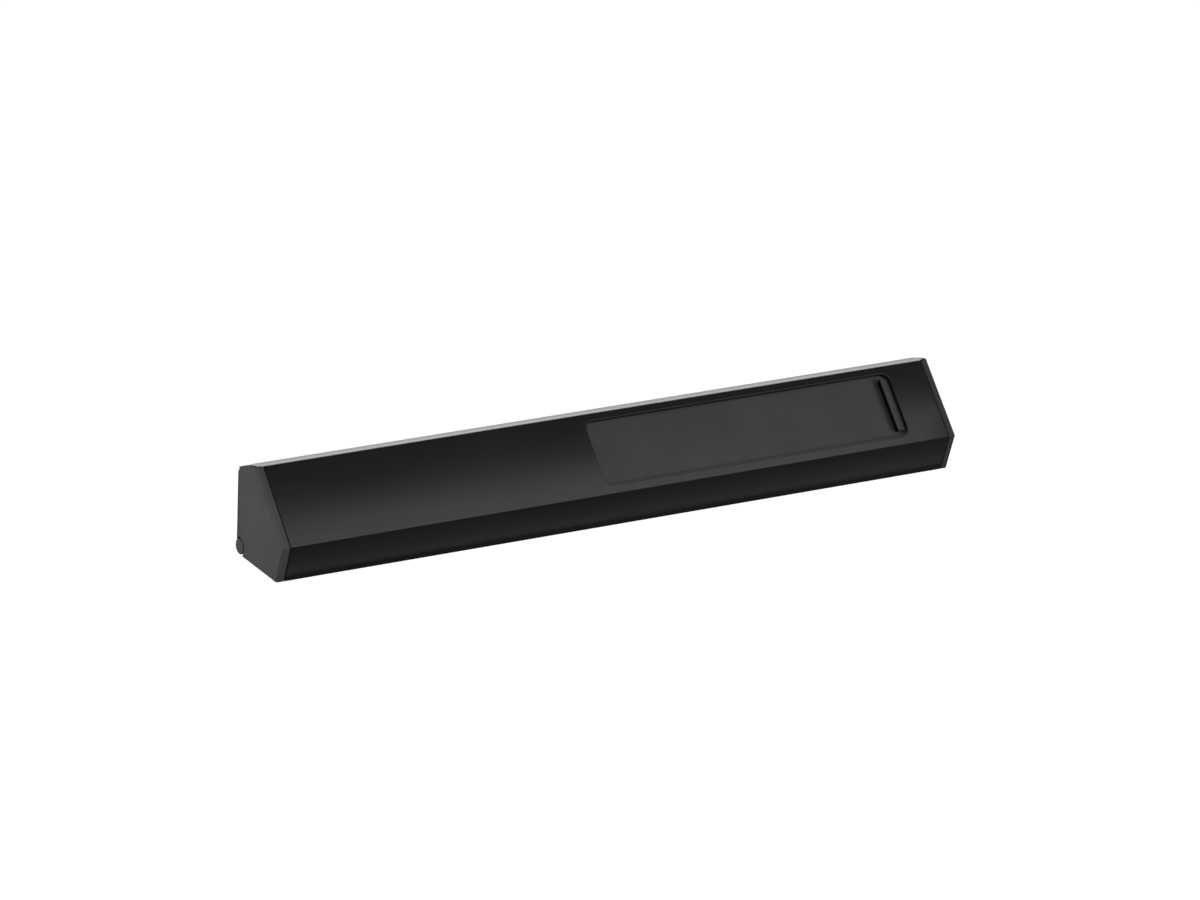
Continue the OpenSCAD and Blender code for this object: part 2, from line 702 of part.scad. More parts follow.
module socket_shell(at) in_bay(at) {
    rounded_plate(inlet_flange[0], inlet_flange[1], flange_corner, panel_face, inlet_flange[2]);
    translate([0, 0, panel_face - inlet_box[2]]) linear_extrude(inlet_box[2] + close_fit)
        square([inlet_box[0], inlet_box[1]], center = true);
}
module pin_places() for (p = [[-pin_spread, -pin_drop], [0, pin_drop], [pin_spread, -pin_drop]])
    translate([p[0], p[1], 0]) children();
module power_inlet() color("#141414") difference() {
    socket_shell(inlet_at);
    in_bay(inlet_at) translate([0, 0, socket_floor]) linear_extrude(inlet_deep + wall)
        rounded_rect(inlet_mouth[0], inlet_mouth[1], mouth_corner);
    in_bay(inlet_at) pin_places() translate([0, 0, socket_floor - 2 * inlet_box[2]])
        linear_extrude(3 * inlet_box[2]) square(pin_blade, center = true);
}
module inlet_pins() color("#c8b273") in_bay(inlet_at) pin_places()
    translate([0, 0, panel_face - inlet_box[2] - pin_tail])
    linear_extrude(socket_floor + pin_length - panel_face + inlet_box[2] + pin_tail)
    square(pin_blade - 2 * [peg_fit, peg_fit], center = true);
module power_outlet() color("#141414") difference() {
    socket_shell(outlet_at);
    in_bay(outlet_at) pin_places()
        translate([0, 0, panel_face + inlet_flange[2] - outlet_deep]) linear_extrude(outlet_deep + wall)
        square(outlet_slot, center = true);
    in_bay(outlet_at) translate([0, 0, panel_face + inlet_flange[2] - outlet_groove]) linear_extrude(wall)
        difference() {
            rounded_rect(inlet_mouth[0] + 2 * outlet_groove, inlet_mouth[1] + 2 * outlet_groove,
                mouth_corner + outlet_groove);
            rounded_rect(inlet_mouth[0], inlet_mouth[1], mouth_corner);
        }
}
module switch_frame() color("#141414") in_bay(switch_at) difference() {
    union() {
        rounded_plate(rocker_frame[0], rocker_frame[1], rocker_corner, panel_face, rocker_frame[2]);
        translate([0, 0, panel_face - rocker_box[2]]) linear_extrude(rocker_box[2] + close_fit)
            square([rocker_box[0], rocker_box[1]], center = true);
    }
    translate([0, 0, panel_face - rocker_box[2] + rocker_wall]) linear_extrude(rocker_box[2] + 2 * wall)
        square([rocker_box[0] - 2 * rocker_wall, rocker_box[1] - 2 * rocker_wall], center = true);
    translate([-rocker_box[0], 0, panel_face + rocker_axis - rocker_frame[2]]) rotate([0, 90, 0])
        cylinder(r = rocker_pin + peg_fit, h = 2 * rocker_box[0]);
}
module switch_rocker() color("#202022") in_bay(switch_at)
    translate([0, 0, panel_face + rocker_axis - rocker_frame[2]]) rotate([rocker_tilt, 0, 0]) {
        translate([-rocker_width / 2, 0, 0]) rotate([90, 0, 90]) linear_extrude(rocker_width) polygon([
            [-rocker_length / 2 + rocker_corner, rocker_rise - rocker_lip], [-rocker_foot, -rocker_depth],
            [rocker_foot, -rocker_depth], [rocker_length / 2 - rocker_corner, rocker_rise - rocker_lip],
            [rocker_length / 2 - rocker_corner, rocker_rise], [0, rocker_rise - rocker_dish],
            [-rocker_length / 2 + rocker_corner, rocker_rise]
        ]);
        translate([-rocker_width / 2 - rocker_pin_length, 0, 0]) rotate([0, 90, 0])
            cylinder(r = rocker_pin, h = rocker_width + 2 * rocker_pin_length);
    }
module data_jack(at) color("#b9bbbd") in_bay(at) difference() {
    translate([0, 0, board_face]) linear_extrude(panel_face + jack_proud - board_face)
        square(jack, center = true);
    translate([0, 0, panel_face + jack_proud - jack_deep]) linear_extrude(jack_deep + wall) {
        square(jack_mouth, center = true);
        translate([0, -jack_mouth[1] / 2]) square(jack_latch, center = true);
    }
}
module data_in_jack() data_jack(data_in_at);
module data_out_jack() data_jack(data_out_at);
module jack_contacts() color("#c8b273")
    for (at = [data_in_at, data_out_at], k = [0:contact_count - 1]) in_bay(at)
    translate([(k - (contact_count - 1) / 2) * contact_pitch, (jack_mouth[1] - contact[1]) / 2,
        panel_face + jack_proud - jack_deep])
    linear_extrude(contact[2]) square([contact[0], contact[1]], center = true);
module display_window() color("#1c2a33") in_bay(display_at)
    rounded_plate(window[0], window[1], key_corner, panel_face, window[2]);
module display_module() color("#20303a") in_bay(display_at)
    translate([0, 0, board_face]) linear_extrude(panel_back - board_face - close_fit)
    square(display_block, center = true);
module key(i) color("#7d7f82") key_place(i) {
    rounded_plate(key_size, key_size, key_corner, panel_face + key_stand, key_cap);
    translate([0, 0, key_foot]) cylinder(r = key_stem, h = panel_face + key_stand - key_foot + close_fit);
}
module key_menu() key(0);
module key_up() key(1);
module key_down() key(2);
module key_enter() key(3);
module key_switches() color("#161616") key_places() difference() {
    translate([0, 0, board_face]) linear_extrude(switch_height) square(switch_side, center = true);
    translate([0, 0, board_face + switch_height - switch_bore_depth])
        cylinder(r = key_stem + close_fit / 2, h = switch_bore_depth + wall);
}
module control_board() color("#1f5a3a") difference() {
    on_slope() block(
        [control_board_left, opening_mid_u - control_board_width / 2, board_face - board_thickness],
        [control_board_right, opening_mid_u + control_board_width / 2, board_face]);
    spacer_places() translate([0, 0, board_face - 2 * wall]) cylinder(r = screw_hole, h = 4 * wall);
}
module board_spacers() color("silver") spacer_places() difference() {
    translate([0, 0, board_face]) cylinder(r = spacer_radius, h = panel_back - board_face);
    translate([0, 0, board_face - wall]) cylinder(r = screw_hole, h = spacer_thread + wall);
}
module spacer_screws() color("silver") spacer_places() {
    translate([0, 0, board_face - board_thickness - screw_head])
        cylinder(r = screw_head_radius, h = screw_head);
    translate([0, 0, board_face - board_thickness])
        cylinder(r = screw_radius, h = board_thickness + spacer_screw_reach);
}

// Driver
module in_driver() translate([driver_x, driver_y, driver_z]) children();
module driver_case() color("#b5b7b9") {
    in_driver() difference() {
        cube([driver_length, driver_width, driver_height - driver_sheet]);
        translate([driver_sheet, driver_sheet, driver_sheet])
            cube([driver_length - 2 * driver_sheet, driver_width - 2 * driver_sheet, driver_height]);
        for (x = [-wall, driver_length - 2 * wall])
            translate([x, (driver_width - driver_port[0]) / 2,
                driver_floor + driver_port_rise - driver_port[1] / 2])
            cube([3 * wall, driver_port[0], driver_port[1]]);
    }
    in_driver() for (x = [driver_post_inset[0], driver_length - driver_post_inset[0]],
        y = [driver_post_inset[1], driver_width - driver_post_inset[1]])
        translate([x, y, driver_sheet / 2])
        cylinder(r = driver_post_radius, h = driver_post + driver_sheet / 2);
    difference() {
        in_driver() for (x = [-driver_ear[0], driver_length])
            translate([x, (driver_width - driver_ear[1]) / 2, 0])
            cube([driver_ear[0], driver_ear[1], driver_sheet]);
        driver_screw_places() translate([0, 0, -wall]) cylinder(r = screw_hole, h = 3 * wall);
    }
}
module driver_lid() color("#a7a9ac") in_driver() translate([0, 0, driver_height - driver_sheet])
    difference() {
        cube([driver_length, driver_width, driver_sheet]);
        for (x = [lid_slot_margin:lid_slot_pitch:driver_length - lid_slot_margin])
            translate([x, lid_edge, -wall]) cube([lid_slot, driver_width - 2 * lid_edge, 3 * wall]);
    }
module driver_board() color("#2a6b46") in_driver()
    block([driver_edge, driver_edge, driver_floor],
        [driver_length - driver_edge, driver_width - driver_edge, driver_floor + board_thickness]);
module driver_transformer() color("#c9a227") in_driver()
    translate([driver_length / 2, 0, driver_floor + board_thickness]) {
        for (z = [0, transformer[1] + transformer_coil[1]])
            translate([-transformer[0] / 2, transformer_edge, z])
            cube([transformer[0], driver_width - 2 * transformer_edge, transformer[1]]);
        translate([-transformer_coil[0] / 2, coil_edge, transformer[1] / 2])
            cube([transformer_coil[0], driver_width - 2 * coil_edge, transformer_coil[1] + transformer[1]]);
    }
module driver_capacitors() color("#223a6b") in_driver()
    for (f = capacitor_at) translate([f * driver_length, driver_width / 2, driver_floor + board_thickness])
        cylinder(r = capacitor_radius, h = capacitor_height);
module driver_screws() color("silver") driver_screw_places() {
    translate([0, 0, driver_sheet]) cylinder(r = screw_head_radius, h = screw_head);
    translate([0, 0, -wall]) cylinder(r = screw_radius, h = wall + driver_sheet);
}

// Rear plate, which turns back about the bead along its lower edge
module rear_plate() color("#26262a") difference() {
    union() {
        along(-half_length + plate_end, half_length - plate_end)
            translate([rear_y - plate_thickness, hinge[1]])
            square([plate_thickness, plate_top_z - hinge[1]]);
        along(-body_half, body_half) translate(hinge) circle(bead_radius);
    }
    // Clears the plugs at both ends
    for (k = [-1, 1]) translate([k * (half_length + body_half) / 2, hinge[0], hinge[1]]) rotate([0, 90, 0])
        cylinder(r = plug_radius + plate_notch_gap, h = cap_thickness, center = true);
    for (x = [-1, 1], z = [-1, 1])
        translate([x * plate_hole_span / 2, rear_y, plate_hole_z + z * plate_hole_rise / 2])
        rotate([90, 0, 0]) {
            translate([0, 0, -wall]) cylinder(r = plate_hole / 2, h = plate_thickness + 2 * wall);
            translate([0, 0, plate_thickness - countersink_depth])
                cylinder(r1 = plate_hole / 2, r2 = countersink_radius, h = countersink_depth);
        }
    for (k = [-1, 1]) translate([k * body_half, hinge[0], hinge[1]]) rotate([0, 90, 0])
        cylinder(r = plug_spigot + peg_fit, h = 2 * (plug_spigot_length + fit), center = true);
}
module pivot_plug() translate([-half_length - plug_proud, hinge[0], hinge[1]]) rotate([0, 90, 0]) {
    cylinder(r1 = plug_radius - plug_bevel, r2 = plug_radius, h = plug_bevel);
    translate([0, 0, plug_bevel])
        cylinder(r = plug_radius, h = plug_proud + cap_thickness - fit - plug_bevel);
    cylinder(r = plug_spigot, h = plug_proud + cap_thickness + plug_spigot_length);
}
module pivot_plug_left() color("#55565a") pivot_plug();
module pivot_plug_right() color("#55565a") mirror([1, 0, 0]) pivot_plug();

// Feet
module foot_strip(y) color("#0e0e0e") translate([-body_half + foot_end, y, 0])
    cube([2 * (body_half - foot_end), foot_width, foot_thickness]);
module foot_strip_front() foot_strip(toe[0] + foot_setback);
module foot_strip_rear() foot_strip(port_heel[0] - port_radius - foot_width / 2);

// Leads inside the housing
function slope_point(x, u, v) = [x, knee[0] + u * cos(slope_angle) - v * sin(slope_angle),
    knee[1] + u * sin(slope_angle) + v * cos(slope_angle)];
function top_point(x, q, v) = [x, crest[0] + q * cos(top_angle) - v * sin(top_angle),
    crest[1] + q * sin(top_angle) + v * cos(top_angle)];
function pin_end(x, behind) = slope_point(opening_left + inlet_at + x, opening_mid_u - pin_drop,
    panel_face - inlet_box[2] - pin_tail - behind);
driver_mid = [driver_x, driver_y + driver_width / 2, driver_z + driver_floor + driver_port_rise];
power_lead_y = back_y - wall - power_lead_gap;
power_lead_z = base_z + power_lead_rise;
inlet_x = opening_left + inlet_at;
// Each runs from a pin along the rear wall to the driver's right end
module power_leads() color("#7a3b2e") for (k = [-1, 1]) let (apart = k * power_lead_spread) tube(route([
    pin_end(k * pin_spread, 2 * close_fit),
    pin_end(k * pin_spread, pin_tail),
    [inlet_x + k * pin_spread - lead_radius, power_lead_y - lead_radius, power_lead_z - power_lead_drop],
    [inlet_x - power_lead_run, power_lead_y, power_lead_z + apart],
    [opening_left, power_lead_y, power_lead_z + apart],
    [bay_left - power_lead_turn[0], power_lead_y - power_lead_turn[1], power_lead_z + apart],
    driver_mid + [driver_length + driver_lead_reach, power_lead_turn[0] + apart, power_lead_turn[1] + apart],
    driver_mid + [driver_length + driver_lead_inside, apart, 0],
    driver_mid + [driver_length - driver_lead_inside, apart, 0]
], 48), lead_radius);
// Each runs from the driver's left end through the shelf to the left LED board
module light_leads() color("#a33a2e") for (k = [-1, 1]) let (x = light_lead_x + k * lead_spread) tube(route([
    driver_mid + [driver_lead_inside, k * power_lead_spread, 0],
    driver_mid + [-driver_lead_inside, k * power_lead_spread, 0],
    top_point(x, light_lead_q, -shelf_back - shelf_lead_rise),
    top_point(x, light_lead_q, -shelf_back - shelf_lead_straight),
    top_point(x, light_lead_q, -shelf_depth + lead_radius),
    top_point(x, light_lead_q + lead_radius, board_top + 2 * lead_radius),
    top_point(x, (light_lead_q + light_pad_q) / 2, board_top + 3 * lead_radius),
    top_point(x, light_pad_q, board_top + 2 * lead_radius),
    top_point(x, light_pad_q, board_top + close_fit)
], 40), lead_radius);

housing();
end_cap_left();
end_cap_right();
lens();
led_board(0);  // led_board_left
led_board(1);  // led_board_middle
led_board(2);  // led_board_right
led_row(0);  // leds_left
led_row(1);  // leds_middle
led_row(2);  // leds_right
led_board_screws();
thermal_pad();
sliding_cover();
cover_grip();
cover_stop();
bay_tray();
tray_screws();
power_inlet();
inlet_pins();
power_outlet();
switch_frame();
switch_rocker();
data_in_jack();
data_out_jack();
jack_contacts();
display_window();
display_module();
key_menu();
key_up();
key_down();
key_enter();
key_switches();
control_board();
board_spacers();
spacer_screws();
driver_case();
driver_lid();
driver_board();
driver_transformer();
driver_capacitors();
driver_screws();
power_leads();
light_leads();
rear_plate();
pivot_plug_left();
pivot_plug_right();
foot_strip_front();
foot_strip_rear();
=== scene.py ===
import json
import math

import bmesh
import bpy
from mathutils import Matrix, Quaternion, Vector


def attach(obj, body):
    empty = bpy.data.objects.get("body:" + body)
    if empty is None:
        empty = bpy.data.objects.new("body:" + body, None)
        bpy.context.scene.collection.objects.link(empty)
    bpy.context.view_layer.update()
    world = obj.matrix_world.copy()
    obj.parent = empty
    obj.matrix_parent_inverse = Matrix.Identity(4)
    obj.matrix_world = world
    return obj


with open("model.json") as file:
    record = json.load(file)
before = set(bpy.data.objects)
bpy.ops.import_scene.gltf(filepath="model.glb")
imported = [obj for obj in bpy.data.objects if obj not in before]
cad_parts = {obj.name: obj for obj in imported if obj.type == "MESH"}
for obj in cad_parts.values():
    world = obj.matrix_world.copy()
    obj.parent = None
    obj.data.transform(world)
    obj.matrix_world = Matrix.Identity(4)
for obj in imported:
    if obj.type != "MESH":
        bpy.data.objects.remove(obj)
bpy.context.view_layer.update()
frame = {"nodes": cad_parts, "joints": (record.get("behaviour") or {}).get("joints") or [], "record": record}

scene = bpy.context.scene
nodes = frame["nodes"]
MM = 0.001

# Directions on the sloped front: out of it, and up along it
press = next(j for j in frame["joints"] if j["name"] == "menu_press")["axis"]
ALONG = Vector((1, 0, 0))
OUT = -Vector(press).normalized()
UP = OUT.cross(ALONG)


def corners(node):
    return [v.co for v in nodes[node].data.vertices]


def span(node, direction):
    """Lowest and highest reach of a node along a direction"""
    reach = [p.dot(direction) for p in corners(node)]
    return min(reach), max(reach)


def middle(node, direction):
    low, high = span(node, direction)
    return (low + high) / 2


# Camera
AZIMUTH = math.radians(30.356)
ELEVATION = math.radians(20.971)
ROLL = math.radians(2.477)
CAMERA_AT = Vector((-1.8843, -3.2103, 1.4698))
FOCAL_SHARE = 6148.2 / 1200
SENSOR = 36


def make_camera():
    level = Vector((math.cos(AZIMUTH), -math.sin(AZIMUTH), 0))
    forward = Vector((math.sin(AZIMUTH) * math.cos(ELEVATION), math.cos(AZIMUTH) * math.cos(ELEVATION),
                      -math.sin(ELEVATION)))
    upright = level.cross(forward)
    right = math.cos(ROLL) * level + math.sin(ROLL) * upright
    up = math.cos(ROLL) * upright - math.sin(ROLL) * level
    data = bpy.data.cameras.new("camera")
    data.sensor_fit = "HORIZONTAL"
    data.sensor_width = SENSOR
    data.lens = FOCAL_SHARE * SENSOR
    camera = bpy.data.objects.new("camera", data)
    camera.matrix_world = Matrix.Translation(CAMERA_AT) @ Matrix((right, up, -forward)).transposed().to_4x4()
    scene.collection.objects.link(camera)
    scene.camera = camera


make_camera()


# Materials: noise runs mostly between these two values, which are stretched to the full range
NOISE_LOW = 0.3
NOISE_HIGH = 0.7
ROUGHNESS_DRIFT = 2.3


class Surface:
    """A node material around one Principled shader"""

    def __init__(self, name):
        self.material = bpy.data.materials.new(name)
        self.material.use_nodes = True
        self.tree = self.material.node_tree
        self.shader = self.tree.nodes["Principled BSDF"]
        self.place = self.add("ShaderNodeTexCoord").outputs["Object"]

    def add(self, kind):
        return self.tree.nodes.new(kind)

    def join(self, a, b):
        self.tree.links.new(a, b)

    def set(self, **values):
        for name, value in values.items():
            self.shader.inputs[name.replace("_", " ")].default_value = value
        return self

    def noise(self, scale, stretch=(1, 1, 1), detail=3):
        mapping = self.add("ShaderNodeMapping")
        mapping.inputs["Scale"].default_value = stretch
        texture = self.add("ShaderNodeTexNoise")
        texture.inputs["Scale"].default_value = scale
        texture.inputs["Detail"].default_value = detail
        self.join(self.place, mapping.inputs["Vector"])
        self.join(mapping.outputs["Vector"], texture.inputs["Vector"])
        return texture.outputs["Fac"]

    def ramp(self, value, low, high):
        ramp = self.add("ShaderNodeValToRGB")
        for element, colour, at in zip(ramp.color_ramp.elements, (low, high), (NOISE_LOW, NOISE_HIGH)):
            element.color = (*colour, 1)
            element.position = at
        self.join(value, ramp.inputs["Fac"])
        return ramp.outputs["Color"]

    def rescale(self, value, low, high):
        node = self.add("ShaderNodeMapRange")
        node.inputs["From Min"].default_value = NOISE_LOW
        node.inputs["From Max"].default_value = NOISE_HIGH
        node.inputs["To Min"].default_value = low
        node.inputs["To Max"].default_value = high
        self.join(value, node.inputs["Value"])
        return node.outputs["Result"]

    def bump(self, height, depth):
        node = self.add("ShaderNodeBump")
        node.inputs["Distance"].default_value = depth
        node.inputs["Strength"].default_value = 1
        self.join(height, node.inputs["Height"])
        return node.outputs["Normal"]


def grained(name, low, high, roughness, grain, depth, mottle=30, stretch=(1, 1, 1), **values):
    """Colour and roughness that drift over the surface, with a fine grain in relief"""
    s = Surface(name)
    drift = s.noise(mottle, stretch)
    s.join(s.ramp(drift, low, high), s.shader.inputs["Base Color"])
    s.join(s.rescale(s.noise(mottle * ROUGHNESS_DRIFT, stretch), *roughness), s.shader.inputs["Roughness"])
    s.join(s.bump(s.noise(grain, stretch), depth), s.shader.inputs["Normal"])
    return s.set(**values).material


def grey(value):
    return value, value, value


materials = {
    "body_black": grained("body_black", grey(0.0028), grey(0.0042), (0.23, 0.27), 3200, 0.006 * MM,
                          stretch=(0.25, 1, 1)),
    "end_cap": grained("end_cap", grey(0.035), grey(0.041), (0.7, 0.78), 2600, 0.03 * MM,
                       Specular_IOR_Level=0.08),
    # A darker copy of the end cap material: painted shade for the right end
    "end_cap_painted_shade": grained("end_cap_painted_shade", grey(0.021), grey(0.025), (0.7, 0.78), 2600, 0.03 * MM,
                           Specular_IOR_Level=0.08),
    "lens": grained("lens", grey(0.62), grey(0.66), (0.42, 0.5), 900, 0.01 * MM, stretch=(0.1, 1, 1),
                    Subsurface_Weight=0.15, Subsurface_Scale=0.002, Subsurface_Radius=(1, 1, 1)),
    "cover": grained("cover", grey(0.0211), grey(0.0248), (0.62, 0.7), 2800, 0.03 * MM,
                     Specular_IOR_Level=0.35),
    # Painted shade: the grip is nearly black so that its left flank reads as deep shade; the matte pad
    # covers its top, ramp and ends
    "grip": grained("grip", grey(0.0005), grey(0.0008), (0.75, 0.85), 2800, 0.01 * MM,
                    Specular_IOR_Level=0.05),
    "plate_black": grained("plate_black", grey(0.004), grey(0.006), (0.4, 0.46), 3000, 0.015 * MM),
    "plug": grained("plug", grey(0.037), grey(0.043), (0.66, 0.74), 2600, 0.03 * MM,
                    Specular_IOR_Level=0.08),
    "foot_rubber": grained("foot_rubber", grey(0.008), grey(0.012), (0.8, 0.9), 1500, 0.06 * MM),
    "tray": grained("tray", grey(0.022), grey(0.027), (0.55, 0.62), 2400, 0.03 * MM),
    "socket": grained("socket", grey(0.010), grey(0.013), (0.38, 0.45), 2600, 0.02 * MM),
    "rocker": grained("rocker", grey(0.012), grey(0.015), (0.3, 0.36), 2600, 0.01 * MM),
    "contact": grained("contact", (0.62, 0.55, 0.36), (0.70, 0.63, 0.43), (0.22, 0.32), 2000, 0.01 * MM,
                       Metallic=1.0),
    "jack": grained("jack", grey(0.013), grey(0.017), (0.42, 0.5), 2600, 0.02 * MM),
    "window": grained("window", grey(0.3), grey(0.34), (0.12, 0.16), 400, 0.002 * MM,
                      Transmission_Weight=0.98),
    "display": grained("display", grey(0.008), grey(0.011), (0.4, 0.5), 2000, 0.01 * MM),
    "key": grained("key", grey(0.045), grey(0.055), (0.55, 0.65), 2200, 0.03 * MM),
    "key_switch": grained("key_switch", grey(0.03), grey(0.04), (0.4, 0.5), 2000, 0.02 * MM),
    "board_green": grained("board_green", (0.006, 0.045, 0.022), (0.010, 0.065, 0.03), (0.35, 0.42),
                           700, 0.02 * MM),
    "board_white": grained("board_white", grey(0.72), grey(0.78), (0.45, 0.55), 900, 0.02 * MM),
    "emitter": grained("emitter", (0.80, 0.62, 0.12), (0.86, 0.70, 0.18), (0.4, 0.5), 3000, 0.01 * MM),
    "pad": grained("pad", (0.33, 0.36, 0.40), (0.38, 0.41, 0.45), (0.75, 0.85), 1200, 0.05 * MM),
    "fastener": grained("fastener", grey(0.50), grey(0.58), (0.28, 0.38), 2200, 0.01 * MM, Metallic=1.0),
    "driver_sheet": grained("driver_sheet", grey(0.52), grey(0.62), (0.34, 0.48), 900, 0.02 * MM, mottle=90,
                            Metallic=1.0),
    "winding": grained("winding", (0.55, 0.36, 0.05), (0.62, 0.42, 0.08), (0.4, 0.5), 900, 0.03 * MM),
    "capacitor": grained("capacitor", (0.012, 0.016, 0.05), (0.018, 0.022, 0.065), (0.3, 0.38), 1500,
                         0.01 * MM),
    "lead_brown": grained("lead_brown", (0.13, 0.05, 0.025), (0.16, 0.065, 0.032), (0.35, 0.45), 1500,
                          0.01 * MM),
    "lead_red": grained("lead_red", (0.35, 0.02, 0.015), (0.42, 0.03, 0.02), (0.35, 0.45), 1500, 0.01 * MM),
}

for subpart in frame["record"]["subparts"]:
    mesh = nodes[subpart["node"]].data
    mesh.materials.clear()
    mesh.materials.append(materials[subpart["material_slot"]])

# Painted shade: the right end cap and its plug take a darker copy of the end cap material, standing in for
# the light falling off towards the right end
for node in ("end_cap_right", "pivot_plug_right"):
    nodes[node].data.materials[0] = materials["end_cap_painted_shade"]


# Fine pieces that sit on the solids
def add_piece(name, points, faces, body, slot, smooth=False):
    mesh = bpy.data.meshes.new(name)
    mesh.from_pydata([tuple(p) for p in points], [], faces)
    shape = bmesh.new()
    shape.from_mesh(mesh)
    bmesh.ops.recalc_face_normals(shape, faces=shape.faces)
    shape.to_mesh(mesh)
    shape.free()
    for face in mesh.polygons:
        face.use_smooth = smooth
    mesh.materials.append(materials[slot])
    piece = bpy.data.objects.new(name, mesh)
    scene.collection.objects.link(piece)
    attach(piece, body)
    return piece


def on_slope(x, u, v):
    return ALONG * x + UP * u + OUT * v


def rounded_loop(left, right, low, high, radius, steps):
    """Points round a rectangle with round corners, anticlockwise"""
    loop = []
    for k, (x, u) in enumerate(((right, high), (left, high), (left, low), (right, low))):
        cx = x - math.copysign(radius, x - (left + right) / 2)
        cu = u - math.copysign(radius, u - (low + high) / 2)
        for i in range(steps + 1):
            turn = math.pi / 2 * (k + i / steps)
            loop.append((cx + radius * math.cos(turn), cu + radius * math.sin(turn)))
    return loop


def ring_faces(rings, count, closed):
    """Quads between successive rings of points"""
    faces = []
    for a in range(rings if closed else rings - 1):
        b = (a + 1) % rings
        for i in range(count):
            j = (i + 1) % count
            faces.append((a * count + i, a * count + j, b * count + j, b * count + i))
    return faces


def arc_profile(centre, radius, start, end, steps):
    turns = [math.radians(start + (end - start) * i / steps) for i in range(steps + 1)]
    return [(centre[0] + radius * math.cos(t), centre[1] + radius * math.sin(t)) for t in turns]


# Rounded rim round the opening of the sloped front
COVER_LAP = 2 * MM
OPENING_CORNER = 6 * MM
RIM_RADIUS = 1.1 * MM
RIM_PROUD = 0.08 * MM
RIM_DEEP = 1.9 * MM
RIM_FROM = 45
RIM_TO = 180
RIM_STEPS = 9
CORNER_STEPS = 10
slope_face = span("housing", OUT)[1]
opening_left, opening_right = (x + d for x, d in zip(span("sliding_cover", ALONG), (COVER_LAP, -COVER_LAP)))
opening_low, opening_high = (u + d for u, d in zip(span("sliding_cover", UP), (COVER_LAP, -COVER_LAP)))


def make_rim():
    centre = (RIM_RADIUS - RIM_PROUD, RIM_PROUD - RIM_RADIUS)
    profile = arc_profile(centre, RIM_RADIUS, RIM_FROM, RIM_TO, RIM_STEPS)
    profile += [(-RIM_PROUD, -RIM_DEEP), (centre[0], -RIM_DEEP), (2 * RIM_RADIUS, -RIM_RADIUS)]
    points = []
    for out, v in profile:
        loop = rounded_loop(opening_left - out, opening_right + out, opening_low - out, opening_high + out,
                            OPENING_CORNER + out, CORNER_STEPS)
        points += [on_slope(x, u, slope_face + v) for x, u in loop]
    count = len(points) // len(profile)
    add_piece("opening_rim", points, ring_faces(len(profile), count, True), "bar", "body_black", True)


make_rim()

# Matte pad over the top, ramp and ends of the cover's grip, with fine cross ribs on its top; the grip's left
# flank stays in the near-black grip material, which is painted shade
PAD_THICK = 0.12 * MM
PAD_INSET = 0.05 * MM
PAD_SUNK = 0.1 * MM
PAD_LEAN = 1.2 * MM
COVER_RECESS = 0.9 * MM
TOE_HEIGHT = 0.5 * MM
RIB_PITCH = 1.25 * MM
RIB_HEIGHT = 0.1 * MM
RIB_INSET = 0.3 * MM
RIB_STEPS = 8
SECTION_POINTS = 6


def make_grip_pad():
    """One strip along the grip whose top waves along its length, with both ends closed"""
    low, high = (u + d for u, d in zip(span("cover_grip", UP), (-PAD_SUNK, PAD_SUNK)))
    top, foot = span("cover_grip", OUT)[1], span("sliding_cover", OUT)[1] - COVER_RECESS
    flat = [p.dot(ALONG) for p in corners("cover_grip") if p.dot(OUT) > top - PAD_SUNK]
    left, right, toe = min(flat), max(flat), span("cover_grip", ALONG)[1] + PAD_INSET
    steps = RIB_STEPS * int((high - low) / RIB_PITCH)
    points = []
    for i in range(steps + 1):
        u = low + (high - low) * i / steps
        wave = RIB_HEIGHT * (0.5 - 0.5 * math.cos(2 * math.pi * (u - low) / RIB_PITCH))
        crown = top + PAD_THICK + wave
        points += [on_slope(left + PAD_LEAN, u, foot - PAD_SUNK), on_slope(left, u, top + PAD_THICK / 2),
                   on_slope(left + RIB_INSET, u, crown), on_slope(right, u, crown),
                   on_slope(toe, u, foot + TOE_HEIGHT + PAD_THICK), on_slope(toe, u, foot - PAD_SUNK)]
    faces = ring_faces(steps + 1, SECTION_POINTS, False)
    last = SECTION_POINTS * steps
    faces += [tuple(range(SECTION_POINTS)), tuple(range(last, last + SECTION_POINTS))]
    add_piece("grip_pad", points, faces, "cover", "cover")


make_grip_pad()

# Raised and printed marks
MARK_BEVEL = 0.06 * MM
SHARPEST_CORNER = 0.2


def shrink(outline, by):
    """Moves every edge of an anticlockwise outline inward"""
    n = len(outline)
    moved = []
    for i in range(n):
        a, b, c = (Vector(outline[(i + k) % n]) for k in (-1, 0, 1))
        u, w = (b - a).normalized(), (c - b).normalized()
        inward = Vector((-u.y - w.y, u.x + w.x))
        scale = by / max(SHARPEST_CORNER, 1 + u.dot(w))
        moved.append(tuple(b + inward * scale))
    return moved


def add_marks(name, outlines, node, height, body, slot):
    """Lays outlines on the face of a node, each with a bevelled edge"""
    solid = nodes[node]
    points, faces = [], []
    for outline in outlines:
        start = len(points)
        n = len(outline)
        rings = [(outline, -MARK_BEVEL), (outline, height - MARK_BEVEL)]
        rings.append((shrink(outline, MARK_BEVEL), height))
        for ring, lift in rings:
            for x, u in ring:
                hit, place, _, _ = solid.ray_cast(on_slope(x, u, slope_face), -OUT)
                assert hit, name
                points.append(place + OUT * lift)
        faces += [tuple(start + i for i in f) for f in ring_faces(3, n, False)]
        faces += [tuple(range(start + n - 1, start - 1, -1)), tuple(range(start + 2 * n, start + 3 * n))]
    add_piece(name, points, faces, body, slot)


def placed(outline, x, u, size=1.0):
    return [(x + a * size * MM, u + b * size * MM) for a, b in outline]


def bar_outline(x, u, wide, high):
    return [(x - wide / 2, u - high / 2), (x + wide / 2, u - high / 2), (x + wide / 2, u + high / 2),
            (x - wide / 2, u + high / 2)]


